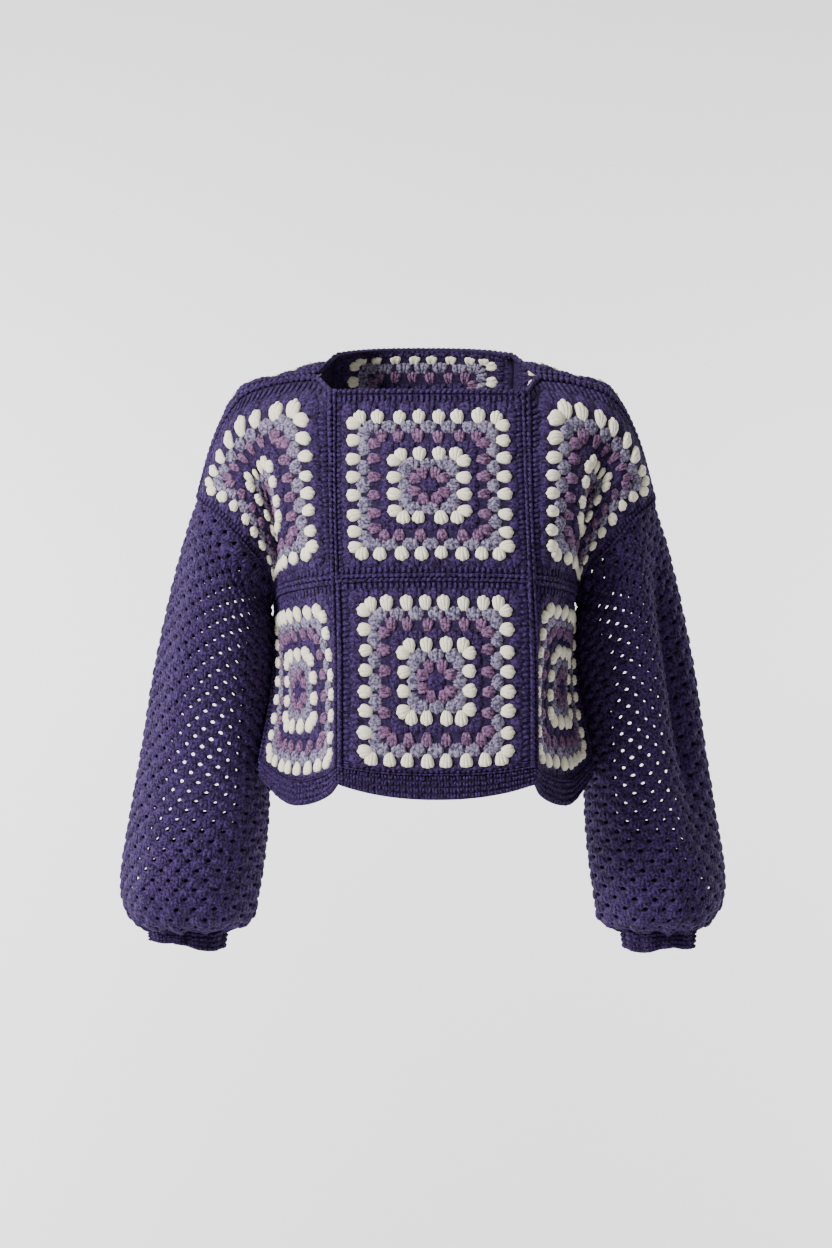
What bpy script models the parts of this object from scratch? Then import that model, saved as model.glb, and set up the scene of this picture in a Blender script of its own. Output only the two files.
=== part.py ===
"""Granny square sweater, as it is worn: twelve crocheted squares, two balloon
sleeves, two cuffs and a hem band, each its own thin wall with open neck, hem,
armholes and cuffs.

The tables are in millimetres, and MM turns them into metres. +X is the wearer's
left, -Y the front and +Z up. The origin lies midway between the shoulders, at
the height of the neck's corners.
"""
import math

import bmesh
import bpy
import numpy as np
from mathutils import Vector

MM = 0.001

# Driving sizes of the cut
SQUARE = 195.0           # side of each of the twelve squares
WALL = 3.0               # thickness of the crochet
SEAM_GAP = 0.3           # clearance between two pieces at a seam
ARMPIT_GAP = 1.0         # more of it at the point where five pieces meet
MIDPOINT_GAP = 0.9       # and at a sleeve's points between two of the armhole's
RIDGE_WIDTH = 4.5        # the raised joining stitch on each side of a seam
RIDGE_HEIGHT = 1.8
HEM_AT_SEAM = 17.0       # height of the hem band where it is drawn up at a seam
HEM_AT_MIDDLE = 24.0     # and under the middle of a square
CUFF_DROP = 21.0         # height of a cuff
CUFF_TILT = {1: 1.0, -1: 5.0}    # its inner side hangs lower by this much

# Grid lines across a square: one at each side of the ridge, the rest even
INNER_LINES = 8
SLEEVE_ROWS = (0, 14, 40, 75, 115, 160, 205, 250, 295, 335, 370, 400, 428, 450, 466, 480)

# How far the cloth is turned about the upright axis: its front is drawn to the
# wearer's left, by this share of the depth, more at the hem than at the neck.
TWIST_AT_NECK = 0.040
TWIST_AT_HEM = 0.071
TWIST_FROM = -100.0
TWIST_TO = -300.0
TWIST_MIDDLE_Y = 20.0

# Wall near the armpit, where five pieces meet, is pressed thinner
ARMPIT_REACH = 80.0
ARMPIT_SHARE = 0.40
RIDGE_FROM = 50.0        # the joining ridge fades in between these distances from it
RIDGE_TO = 100.0

# Side squares, front and back, as points (x, y, z) on the wearer's left. Each row
# lies so far down the cloth from the shoulder; the columns lie so far across it
# from the seam beside the middle square. Columns: the seam, the neck's corner, the
# chest, the crease over the arm, the arm, and the armhole or the side seam.
ACROSS = (0, 28, 62, 97, 140, SQUARE)
NECK_CORNER = 1          # its column, sharp at the shoulder and smooth below it
NECK_CORNER_DEPTH = 28.0
FRONT_SIDE = {
    0: ((97, -70, -20), (112, -25, 0), (149, -18, -3), (188, -13, -15), (216, -6, -58), (237, 2, -125)),
    28: ((97, -79, -47), (129, -66, -37), (167, -54, -42), (198, -46, -59), (218, -40, -95), (233, -20, -133)),
    62: ((97, -91, -82), (126, -88, -80), (161, -72, -84), (175, -58, -95), (193, -60, -112), (213, -46, -150)),
    100: ((97, -104, -120), (123, -100, -118), (153, -84, -124), (160, -52, -130), (172, -56, -142), (193, -50, -172)),
    145: ((97, -114, -165), (120, -106, -163), (147, -76, -170), (151, -36, -174), (157, -26, -182), (172, -22, -196)),
    195: ((97, -118, -213), (118, -104, -215), (138, -70, -218), (149, -35, -221), (153, -3, -224), (155, 30, -228)),
    295: ((97, -127, -310), (103, -104, -312), (118, -76, -315), (134, -47, -318), (145, -13, -321), (159, 18, -322)),
    390: ((97, -130, -398), (105, -110, -407), (122, -82, -415), (140, -54, -418), (155, -22, -413), (173, 6, -400)),
}
BACK_SIDE = {
    0: ((92, 30, 27), (112, -25, 0), (149, -18, -3), (188, -13, -15), (216, -6, -58), (237, 2, -125)),
    28: ((97, 54, 19), (118, 8, 14), (152, 8, 2), (192, 12, -10), (219, 22, -58), (236, 28, -131)),
    90: ((98, 96, -40), (121, 66, -36), (153, 58, -44), (184, 60, -66), (209, 68, -104), (214, 72, -158)),
    145: ((97, 119, -109), (122, 105, -110), (149, 96, -120), (168, 88, -138), (178, 80, -164), (182, 74, -196)),
    195: ((97, 134, -172), (124, 126, -182), (142, 108, -193), (150, 84, -204), (153, 58, -216), (155, 30, -228)),
    295: ((97, 150, -280), (122, 145, -285), (146, 124, -291), (157, 94, -299), (152, 58, -310), (159, 18, -322)),
    390: ((97, 154, -380), (124, 149, -381), (148, 128, -384), (160, 94, -388), (152, 54, -393), (173, 6, -400)),
}

# Middle squares: how far the middle stands out past the side seams, and how much
# higher it lies, at each distance down the cloth.
BOW_POWER = 2.5
FRONT_MIDDLE = {0: (4, 0), 28: (6, 0), 62: (8, 0), 100: (8, 0), 145: (7, 1), 195: (7, 2), 295: (7, 0), 390: (7, -8)}
BACK_MIDDLE = {0: (44, 13), 28: (27, 6), 90: (14, 0), 145: (8, 0), 195: (6, 0), 295: (6, 0), 390: (6, -8)}

# Soft upright folds in the back side squares: how far they stand, and their number
BACK_FOLD = 5.0
BACK_FOLDS = 2

# Rings of the wearer's left sleeve below the armhole: distance down the cloth,
# outermost point (x, y, z), innermost point (x, y, z) and half the depth in y.
SLEEVE_RINGS = (
    (18, (241, 5, -141), (167, 33, -236), 64),
    (50, (251, 11, -168), (166, 37, -258), 66),
    (110, (267, 24, -222), (166, 41, -297), 66),
    (190, (286, 38, -305), (167, 46, -350), 66),
    (270, (299, 48, -385), (168, 52, -408), 66),
    (340, (311, 54, -455), (169, 56, -464), 70),
    (400, (321, 57, -516), (174, 58, -516), 74),
    (438, (319, 58, -551), (180, 58, -551), 72),
    (460, (306, 58, -573), (187, 58, -573), 60),
    (480, (289, 58, -583), (213, 58, -583), 28),
)
SLEEVE_FULLNESS = {1: 0.96, -1: 1.02}    # each sleeve's width against the table's
SLEEVE_LEAN = -3.0       # both sleeves hang this much to the wearer's right at the cuff
# One lengthwise fold in each sleeve: angle round it from the outside towards the
# front, half width in radians, and depth as a share of the radius at each ring.
FOLD_ANGLE = {1: 0.80, -1: 0.55}
FOLD_WIDTH = {1: 0.36, -1: 0.40}
FOLD_DEPTH = {
    1: {0: 0.0, 18: 0.04, 50: 0.16, 110: 0.32, 190: 0.38, 270: 0.32, 340: 0.16, 400: 0.03, 480: 0.0},
    -1: {0: 0.0, 18: 0.0, 50: 0.05, 110: 0.10, 190: 0.10, 270: 0.06, 340: 0.03, 400: 0.05, 480: 0.0},
}
GATHERS = 10             # small pleats where a sleeve is drawn into its cuff
GATHER_HEIGHT = 2.6
GATHER_START = 430.0

COLOURS = {
    "square": (0.13, 0.09, 0.20, 1.0),
    "sleeve": (0.055, 0.035, 0.15, 1.0),
    "edging": (0.045, 0.03, 0.13, 1.0),
}
ROUGHNESS = 0.9

# Direction along which the ends of a rim's faces are told apart
RIM_ORDER = (1.0, 2.0, 3.0)

SIDES = {"left": 1, "right": -1}


def smooth(t):
    """Ease from 0 to 1 as t goes from 0 to 1."""
    t = min(max(t, 0.0), 1.0)
    return t * t * (3.0 - 2.0 * t)


def spline(knots, values, t, corner=None, sharpness=0.0):
    """Value at t of a smooth curve through values at the given knots.

    The knot numbered corner may be a sharp one: sharpness 1 is a full corner.
    """
    last = len(knots) - 1
    i = 0
    while i < last - 1 and t > knots[i + 1]:
        i += 1

    def slope(k, beside):
        low, high = max(k - 1, 0), min(k + 1, last)
        even = (values[high] - values[low]) / (knots[high] - knots[low])
        if k != corner:
            return even
        own = (values[beside] - values[k]) / (knots[beside] - knots[k])
        return even + sharpness * (own - even)

    span = knots[i + 1] - knots[i]
    s = (t - knots[i]) / span
    ease = s * s * (3.0 - 2.0 * s)
    bend = s * (1.0 - s) * span * (slope(i, i + 1) * (1.0 - s) - slope(i + 1, i) * s)
    return values[i] * (1.0 - ease) + values[i + 1] * ease + bend


def table_value(table, t, low=-math.inf, high=math.inf):
    """Value at t of a table whose keys are its knots, through its rows from low to high."""
    rows = {key: np.array(row, float) for key, row in table.items() if low <= key <= high}
    return spline(tuple(rows), list(rows.values()), t)


def level_value(table, down):
    """Value of a body table so far down, with a seam between upper and lower rows."""
    if down < SQUARE:
        return table_value(table, down, high=SQUARE)
    return table_value(table, down, low=SQUARE)


def twisted(point):
    """The point after the cloth's turn about the upright axis."""
    x, y, z = point
    share = TWIST_AT_NECK + (TWIST_AT_HEM - TWIST_AT_NECK) * smooth((TWIST_FROM - z) / (TWIST_FROM - TWIST_TO))
    return np.array((x + share * (TWIST_MIDDLE_Y - y), y, z))


def side_point(table, side, across, down):
    """Point of a side square, front or back, on the side 1 or -1."""
    sharpness = 1.0 - smooth(down / NECK_CORNER_DEPTH)
    x, y, z = spline(ACROSS, list(level_value(table, down)), across, NECK_CORNER, sharpness)
    if table is BACK_SIDE:
        wave = math.sin(math.pi * across / SQUARE) * math.sin(2 * math.pi * BACK_FOLDS * across / SQUARE)
        y += BACK_FOLD * wave * smooth((down - SQUARE / 2) / SQUARE)
        x += BACK_FOLD * wave * smooth((down - SQUARE / 2) / SQUARE)
    return twisted((side * x, y, z))


def middle_point(table, bows, across, down):
    """Point of a middle square, with across from -SQUARE/2 to SQUARE/2."""
    half = SQUARE / 2
    x, y, z = level_value(table, down)[0]
    bow, lift = level_value(bows, down)
    share = 1.0 - abs(across / half) ** BOW_POWER
    outward = -1.0 if table is FRONT_SIDE else 1.0
    return twisted((x * across / half, y + outward * bow * share, z + lift * share))


def square_lines():
    """Distances across a square of its grid lines."""
    inner = np.linspace(RIDGE_WIDTH, SQUARE - RIDGE_WIDTH, INNER_LINES + 1)
    return np.concatenate(([0.0], inner, [SQUARE]))


def square_grids():
    """Middle surface of each square: name, grid of points, and which way is out."""
    lines = square_lines()
    half = SQUARE / 2
    grids = {}
    for face, table, bows, way in (("front", FRONT_SIDE, FRONT_MIDDLE, -1), ("back", BACK_SIDE, BACK_MIDDLE, 1)):
        for level, top in (("upper", 0.0), ("lower", SQUARE)):
            name = f"{face}_{level}_centre_square"
            rows = [[middle_point(table, bows, a - half, top + d) for a in lines] for d in lines]
            grids[name] = (np.array(rows), way)
            for word, side in SIDES.items():
                name = f"{face}_{level}_{word}_square"
                rows = [[side_point(table, side, a, top + d) for a in lines] for d in lines]
                grids[name] = (np.array(rows), way * side)
    return grids


def with_midpoints(ring):
    """The ring with a point added in the middle of each of its edges."""
    following = np.roll(ring, -1, axis=0)
    return np.stack((ring, (ring + following) / 2), axis=1).reshape(-1, 3)


def armhole(grids, word):
    """The armhole's loop: down the front from the shoulder, and up the back."""
    front = grids[f"front_upper_{word}_square"][0][:, -1]
    back = grids[f"back_upper_{word}_square"][0][:, -1]
    return with_midpoints(np.concatenate((front[:-1], back[:0:-1])))


def ring_angles(loop):
    """Angle of each point of the armhole: 0 at the top, pi at the armpit."""
    steps = np.linalg.norm(np.roll(loop, -1, axis=0) - loop, axis=1)
    half = len(loop) // 2
    front = np.cumsum(np.concatenate(([0.0], steps[:half])))
    back = np.cumsum(np.concatenate(([0.0], steps[half:])))
    return np.concatenate((math.pi * front[:-1] / front[-1], math.pi + math.pi * back[:-1] / back[-1]))


def fold_share(side, angle, down):
    """How much of the sleeve's radius its lengthwise fold takes away."""
    off = (angle - FOLD_ANGLE[side] + math.pi) % (2 * math.pi) - math.pi
    return float(table_value(FOLD_DEPTH[side], down)) * math.exp(-(off / FOLD_WIDTH[side]) ** 2)


def sleeve_ring(side, outer, inner, depth, angles, down):
    """Points of one ring of a sleeve, folded and gathered."""
    outer, inner = np.array(outer, float), np.array(inner, float)
    inner = outer + (inner - outer) * (1.0 + (SLEEVE_FULLNESS[side] - 1.0) * smooth(down / 200.0))
    middle, reach = (outer + inner) / 2, (outer - inner) / 2
    points = []
    for angle in angles:
        arm = math.cos(angle) * reach + math.sin(angle) * np.array((0.0, -depth, 0.0))
        arm *= 1.0 - fold_share(side, angle, down)
        gather = GATHER_HEIGHT * smooth((down - GATHER_START) / 30.0) * math.cos(GATHERS * angle)
        arm *= 1.0 + gather / np.linalg.norm(arm)
        x, y, z = middle + arm
        points.append((side * x + SLEEVE_LEAN * down / SLEEVE_ROWS[-1], y, z))
    return np.array(points)


def sleeve_grid(grids, word, side):
    """Middle surface of a sleeve, from the armhole to the cuff."""
    loop = armhole(grids, word)
    angles = ring_angles(loop)
    knots = [0.0]
    rings = [loop]
    for down, outer, inner, depth in SLEEVE_RINGS:
        knots.append(float(down))
        rings.append(sleeve_ring(side, outer, inner, depth, angles, down))
    rows = [spline(knots, rings, down) for down in SLEEVE_ROWS]
    return np.array(rows), side


def cuff_grid(sleeve, side):
    """Middle surface of a cuff, hung from the sleeve's last ring."""
    top = sleeve[-1]
    centre = top.mean(axis=0)
    rows = []
    for share in (0.0, 0.35, 1.0):
        ring = top.copy()
        ring[:, :2] = centre[:2] + (top[:, :2] - centre[:2]) * (1.0 - 0.06 * share)
        inwards = -side * (top[:, 0] - centre[0]) / np.ptp(top[:, 0]) * 2.0
        ring[:, 2] -= (CUFF_DROP - CUFF_TILT[side] + CUFF_TILT[side] * inwards) * share
        rows.append(ring)
    return np.array(rows), side


def hem_grid(grids):
    """Middle surface of the hem band, hung from the lower squares all round."""
    edges = [grids["front_lower_centre_square"][0][-1]]
    edges.append(grids["front_lower_left_square"][0][-1])
    edges.append(grids["back_lower_left_square"][0][-1][::-1])
    edges.append(grids["back_lower_centre_square"][0][-1][::-1])
    edges.append(grids["back_lower_right_square"][0][-1])
    edges.append(grids["front_lower_right_square"][0][-1][::-1])
    lines = square_lines() / SQUARE
    drops = HEM_AT_SEAM + (HEM_AT_MIDDLE - HEM_AT_SEAM) * np.sin(np.pi * lines) ** 0.8
    top = np.concatenate([edge[:-1] for edge in edges])
    drop = np.tile(drops[:-1], len(edges))
    bottom = top.copy()
    bottom[:, 2] -= drop
    return np.array((top, (top + bottom) / 2, bottom)), -1


def wrapped(grid, closed):
    """The grid with its first column added after the last one, on a tube."""
    return np.concatenate((grid, grid[:, :1]), axis=1) if closed else grid


def shared_normals(surfaces):
    """Normals at every grid point, the same for all pieces that meet there."""
    sums = {}
    keys = {}
    for name, (grid, way, closed) in surfaces.items():
        full = wrapped(grid, closed)
        a, b, c, d = full[:-1, :-1], full[:-1, 1:], full[1:, 1:], full[1:, :-1]
        faces = way * np.cross(c - a, d - b)
        keys[name] = [[tuple(np.round(point, 3)) for point in row] for row in full]
        for j in range(faces.shape[0]):
            for i in range(faces.shape[1]):
                for row, column in ((j, i), (j, i + 1), (j + 1, i), (j + 1, i + 1)):
                    key = keys[name][row][column]
                    sums[key] = sums.get(key, 0.0) + faces[j, i]
    normals = {}
    for name, rows in keys.items():
        total = np.array([[sums[key] for key in row] for row in rows])
        normals[name] = total / np.linalg.norm(total, axis=2, keepdims=True)
    return normals


def seam_clearance(grid, closed, gaps):
    """The grid with its edges drawn in by their gaps."""
    drawn = grid.copy()
    for edge, beside in ((0, 1), (-1, -2)):
        step = grid[beside] - grid[edge]
        drawn[edge] += gaps[edge][:, None] * step / np.linalg.norm(step, axis=1, keepdims=True)
        if not closed:
            step = grid[:, beside] - grid[:, edge]
            drawn[:, edge] += gaps[:, edge][:, None] * step / np.linalg.norm(step, axis=1, keepdims=True)
    return drawn


def wall_skins(name, grid, normals, closed, armpits):
    """Outer and inner skin of a piece's wall, with the squares' edges raised."""
    full = wrapped(grid, closed)
    away = np.min([np.linalg.norm(full - spot, axis=2) for spot in armpits], axis=0)
    share = ARMPIT_SHARE + (1.0 - ARMPIT_SHARE) * np.vectorize(smooth)(away / ARMPIT_REACH)
    ridge = np.vectorize(smooth)((away - RIDGE_FROM) / (RIDGE_TO - RIDGE_FROM))
    raised = np.zeros(full.shape[:2])
    if name.endswith("square"):
        raised[0] = raised[-1] = RIDGE_HEIGHT
        raised[:, 0] = raised[:, -1] = RIDGE_HEIGHT
    else:
        raised[0] = 0.0 if name.endswith("cuff") else RIDGE_HEIGHT
    outer = full + normals * (WALL / 2 * share + raised * ridge)[..., None]
    inner = full - normals * (WALL / 2 * share)[..., None]
    gaps = SEAM_GAP / 2 + ARMPIT_GAP * (away < 1e-6)
    if name.endswith("sleeve"):
        gaps[0, 1::2] += MIDPOINT_GAP
        for skin in (outer, inner):
            skin[0, 1::2] = (skin[0, :-1:2] + skin[0, 2::2]) / 2
    return seam_clearance(outer, closed, gaps), seam_clearance(inner, closed, gaps)


def new_material(name, colour):
    """A matt woollen yarn of one colour."""
    material = bpy.data.materials.new(name)
    material.use_nodes = True
    shader = material.node_tree.nodes["Principled BSDF"]
    shader.inputs["Base Color"].default_value = colour
    shader.inputs["Roughness"].default_value = ROUGHNESS
    shader.inputs["Metallic"].default_value = 0.0
    return material


def split_rims(bm, skin_of, row_of, column_of):
    """Cut each face of the wall's rim along the diagonal that its neighbour's rim has too."""
    rims = [face for face in bm.faces if len({vert[skin_of] for vert in face.verts}) == 2]
    for face in rims:
        ends = {}
        for vert in sorted(face.verts, key=lambda vert: vert[skin_of]):
            ends.setdefault((vert[row_of], vert[column_of]), []).append(vert)
        middle = [(pair[0].co + pair[1].co).dot(Vector(RIM_ORDER)) for pair in ends.values()]
        first, last = list(ends.values())[::1 if middle[0] < middle[1] else -1]
        bmesh.utils.face_split(face, last[0], first[1])


def cloth_object(name, outer, inner, closed, colour):
    """A closed wall: a grid laid on the outer skin and extruded to the inner one."""
    rows, columns = outer.shape[0] - 1, outer.shape[1] - 1
    mesh = bpy.data.meshes.new(name)
    bm = bmesh.new()
    bmesh.ops.create_grid(bm, x_segments=columns, y_segments=rows, size=1.0)
    row_of = bm.verts.layers.int.new("row")
    column_of = bm.verts.layers.int.new("column")
    for vert in bm.verts:
        vert[row_of] = round((1.0 - vert.co.y) / 2.0 * rows)
        vert[column_of] = round((1.0 + vert.co.x) / 2.0 * columns)
        vert.co = outer[vert[row_of], vert[column_of]] * MM
    if closed:
        bmesh.ops.remove_doubles(bm, verts=bm.verts[:], dist=1e-6)
    skin_of = bm.verts.layers.int.new("skin")
    extruded = bmesh.ops.extrude_face_region(bm, geom=bm.faces[:], use_keep_orig=True)
    for item in extruded["geom"]:
        if isinstance(item, bmesh.types.BMVert):
            item.co = inner[item[row_of], item[column_of]] * MM
            item[skin_of] = 1
    split_rims(bm, skin_of, row_of, column_of)
    bmesh.ops.recalc_face_normals(bm, faces=bm.faces[:])
    bm.to_mesh(mesh)
    bm.free()
    mesh.shade_smooth()
    mesh.set_sharp_from_angle(angle=math.radians(50))
    mesh.materials.append(new_material(name + "_yarn", colour))
    sheet = bpy.data.objects.new(name, mesh)
    bpy.context.collection.objects.link(sheet)
    return sheet


def build():
    """Make every piece of the sweater."""
    for old in list(bpy.data.objects):
        bpy.data.objects.remove(old, do_unlink=True)
    squares = square_grids()
    surfaces = {name: (grid, way, False) for name, (grid, way) in squares.items()}
    armpits = []
    for word, side in SIDES.items():
        sleeve, way = sleeve_grid(squares, word, side)
        surfaces[f"{word}_sleeve"] = (sleeve, way, True)
        cuff, way = cuff_grid(sleeve, side)
        surfaces[f"{word}_cuff"] = (cuff, way, True)
        armpits.append(squares[f"front_lower_{word}_square"][0][0, -1])
    hem, way = hem_grid(squares)
    surfaces["hem_band"] = (hem, way, True)
    normals = shared_normals(surfaces)
    for name, (grid, way, closed) in surfaces.items():
        outer, inner = wall_skins(name, grid, normals[name], closed, armpits)
        kind = name.rsplit("_", 1)[-1]
        cloth_object(name, outer, inner, closed, COLOURS.get(kind, COLOURS["edging"]))


build()
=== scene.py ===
# %% [markdown]
# # A granny square sweater, from flat crochet to worn form
# A real sweater of this kind starts as twelve flat granny squares and two flat
# sleeve pieces, which are crocheted first and sewn together afterwards. This lesson
# works in the same order: each flat piece is built once, stitch by stitch, and is
# then laid on the curved surface that it has when the sweater is worn.

# %% Load the fixed model
import math

import bmesh
import bpy
import numpy as np
from mathutils import Matrix, Vector


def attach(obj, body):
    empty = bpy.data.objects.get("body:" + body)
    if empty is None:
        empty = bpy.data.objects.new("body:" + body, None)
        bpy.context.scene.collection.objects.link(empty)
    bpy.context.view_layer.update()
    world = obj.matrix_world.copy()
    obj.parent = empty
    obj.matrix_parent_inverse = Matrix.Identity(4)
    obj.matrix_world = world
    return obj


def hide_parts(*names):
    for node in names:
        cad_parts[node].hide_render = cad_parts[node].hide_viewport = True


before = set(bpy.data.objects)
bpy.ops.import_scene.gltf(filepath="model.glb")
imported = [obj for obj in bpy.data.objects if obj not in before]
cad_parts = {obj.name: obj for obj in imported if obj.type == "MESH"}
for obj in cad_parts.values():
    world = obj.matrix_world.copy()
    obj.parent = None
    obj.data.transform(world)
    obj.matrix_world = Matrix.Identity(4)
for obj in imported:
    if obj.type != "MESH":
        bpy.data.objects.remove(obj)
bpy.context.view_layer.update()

print("solids loaded:", len(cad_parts))

# %% [markdown]
# ## The surface of the worn sweater
# The shape comes from short tables in millimetres: points along each square at
# several distances down the cloth. A smooth curve is drawn through them. Sculpting
# would give the same form, but a table keeps every size readable.
# +X is the wearer's left, -Y the front, and the origin lies between the shoulders.

# %% Sizes and tables of the body
MM = 0.001
SQUARE = 195.0           # a finished square's edge
TWIST_AT_NECK, TWIST_AT_HEM = 0.040, 0.071   # shift sideways for each mm of depth
TWIST_FROM, TWIST_TO = -100.0, -300.0        # heights between which it grows
TWIST_MIDDLE_Y = 20.0
ACROSS = (0, 28, 62, 97, 140, SQUARE)
NECK_CORNER, NECK_CORNER_DEPTH = 1, 28.0     # the knot that is sharp, and where that ends
# Distance down the cloth, and there the points (x, y, z) at the distances ACROSS.
FRONT_SIDE = {
    0: ((97, -70, -20), (112, -25, 0), (149, -18, -3),
        (188, -13, -15), (216, -6, -58), (237, 2, -125)),
    28: ((97, -79, -47), (129, -66, -37), (167, -54, -42),
         (198, -46, -59), (218, -40, -95), (233, -20, -133)),
    62: ((97, -91, -82), (126, -88, -80), (161, -72, -84),
         (175, -58, -95), (193, -60, -112), (213, -46, -150)),
    100: ((97, -104, -120), (123, -100, -118), (153, -84, -124),
          (160, -52, -130), (172, -56, -142), (193, -50, -172)),
    145: ((97, -114, -165), (120, -106, -163), (147, -76, -170),
          (151, -36, -174), (157, -26, -182), (172, -22, -196)),
    195: ((97, -118, -213), (118, -104, -215), (138, -70, -218),
          (149, -35, -221), (153, -3, -224), (155, 30, -228)),
    295: ((97, -127, -310), (103, -104, -312), (118, -76, -315),
          (134, -47, -318), (145, -13, -321), (159, 18, -322)),
    390: ((97, -130, -398), (105, -110, -407), (122, -82, -415),
          (140, -54, -418), (155, -22, -413), (173, 6, -400)),
}
BACK_SIDE = {
    0: ((92, 30, 27), (112, -25, 0), (149, -18, -3),
        (188, -13, -15), (216, -6, -58), (237, 2, -125)),
    28: ((97, 54, 19), (118, 8, 14), (152, 8, 2),
         (192, 12, -10), (219, 22, -58), (236, 28, -131)),
    90: ((98, 96, -40), (121, 66, -36), (153, 58, -44),
         (184, 60, -66), (209, 68, -104), (214, 72, -158)),
    145: ((97, 119, -109), (122, 105, -110), (149, 96, -120),
          (168, 88, -138), (178, 80, -164), (182, 74, -196)),
    195: ((97, 134, -172), (124, 126, -182), (142, 108, -193),
          (150, 84, -204), (153, 58, -216), (155, 30, -228)),
    295: ((97, 150, -280), (122, 145, -285), (146, 124, -291),
          (157, 94, -299), (152, 58, -310), (159, 18, -322)),
    390: ((97, 154, -380), (124, 149, -381), (148, 128, -384),
          (160, 94, -388), (152, 54, -393), (173, 6, -400)),
}
# Distance down the cloth, and there how far a middle square bows out and lifts.
FRONT_MIDDLE = {0: (4, 0), 28: (6, 0), 62: (8, 0), 100: (8, 0),
                145: (7, 1), 195: (7, 2), 295: (7, 0), 390: (7, -8)}
BACK_MIDDLE = {0: (44, 13), 28: (27, 6), 90: (14, 0), 145: (8, 0),
               195: (6, 0), 295: (6, 0), 390: (6, -8)}
BOW_POWER = 2.5          # the higher, the flatter a bow's middle
BACK_FOLD, BACK_FOLDS = 5.0, 2   # height and number of the soft folds in the back
SIDES = {"left": 1, "right": -1}
print("rows of the side tables:", len(FRONT_SIDE), "and", len(BACK_SIDE))

# %% Curves through the tables
def smooth(t):
    """Ease from 0 to 1 as t goes from 0 to 1."""
    t = min(max(t, 0.0), 1.0)
    return t * t * (3.0 - 2.0 * t)


def spline(knots, values, t, corner=None, sharpness=0.0):
    """Value at t of a smooth curve through the values, with one knot that may be sharp."""
    last = len(knots) - 1
    i = 0
    while i < last - 1 and t > knots[i + 1]:
        i += 1

    def slope(k, beside):
        low, high = max(k - 1, 0), min(k + 1, last)
        even = (values[high] - values[low]) / (knots[high] - knots[low])
        if k != corner:
            return even
        own = (values[beside] - values[k]) / (knots[beside] - knots[k])
        return even + sharpness * (own - even)

    span = knots[i + 1] - knots[i]
    s = (t - knots[i]) / span
    ease = s * s * (3.0 - 2.0 * s)
    bend = s * (1.0 - s) * span * (slope(i, i + 1) * (1.0 - s) - slope(i + 1, i) * s)
    return values[i] * (1.0 - ease) + values[i + 1] * ease + bend


def table_value(table, t, low=-math.inf, high=math.inf):
    """Value at t of a table whose keys are its knots, through its rows from low to high."""
    rows = {key: np.array(row, float) for key, row in table.items() if low <= key <= high}
    return spline(tuple(rows), list(rows.values()), t)


def level_value(table, down):
    """Value of a body table so far down, with a seam between upper and lower rows."""
    if down < SQUARE:
        return table_value(table, down, high=SQUARE)
    return table_value(table, down, low=SQUARE)


print("front seam at the hem:", np.round(level_value(FRONT_SIDE, 2 * SQUARE)[0], 1))

# %% The squares' surfaces
GRID_LINES = 40          # lines of a square's surface each way


def twisted(points):
    """Points turned about the upright axis, as the worn cloth is."""
    points = np.array(points, float)
    share = np.clip((TWIST_FROM - points[..., 2]) / (TWIST_FROM - TWIST_TO), 0, 1)
    share = TWIST_AT_NECK + (TWIST_AT_HEM - TWIST_AT_NECK) * share * share * (3 - 2 * share)
    points[..., 0] += share * (TWIST_MIDDLE_Y - points[..., 1])
    return points


def side_row(table, side, down, lines):
    """Points across a side square, so far down the cloth."""
    sharpness = 1.0 - smooth(down / NECK_CORNER_DEPTH)
    values = list(level_value(table, down))
    row = np.array([spline(ACROSS, values, across, NECK_CORNER, sharpness) for across in lines])
    if table is BACK_SIDE:
        wave = np.sin(np.pi * lines / SQUARE) * np.sin(2 * np.pi * BACK_FOLDS * lines / SQUARE)
        row[:, :2] += (BACK_FOLD * wave * smooth((down - SQUARE / 2) / SQUARE))[:, None]
    return twisted(row * (side, 1, 1))


def middle_row(table, bows, down, lines):
    """Points across a middle square, so far down the cloth."""
    x, y, z = level_value(table, down)[0]
    bow, lift = level_value(bows, down)
    across = 2 * lines / SQUARE - 1
    share = 1.0 - np.abs(across) ** BOW_POWER
    outward = -1.0 if table is FRONT_SIDE else 1.0
    return twisted(np.stack((x * across, y + outward * bow * share, z + lift * share), axis=1))


LINES = np.linspace(0, SQUARE, GRID_LINES)
FACES = (("front", FRONT_SIDE, FRONT_MIDDLE, -1), ("back", BACK_SIDE, BACK_MIDDLE, 1))
body = {}
for face, table, bows, way in FACES:
    for level, top in (("upper", 0.0), ("lower", SQUARE)):
        rows = [middle_row(table, bows, top + down, LINES) for down in LINES]
        body[f"{face}_{level}_centre_square"] = (np.array(rows), way)
        for word, side in SIDES.items():
            rows = [side_row(table, side, top + down, LINES) for down in LINES]
            body[f"{face}_{level}_{word}_square"] = (np.array(rows), way * side)
print("square surfaces:", len(body))

# %% [markdown]
# ## The sleeves' surfaces
# A balloon sleeve starts as wide as the armhole, swells towards the wrist and is
# drawn into a short cuff. Each ring of the table is an oval with an outermost and an
# innermost point, and a smooth surface runs through the rings. One long soft fold runs
# down each sleeve, as wearing leaves it. A sculpt could give the same shape, but rings
# can be measured and changed one by one.

# %% Sleeve tables and rings
SLEEVE_LENGTH = 480.0
SLEEVE_LINES = 61        # rings of a sleeve's surface
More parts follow.
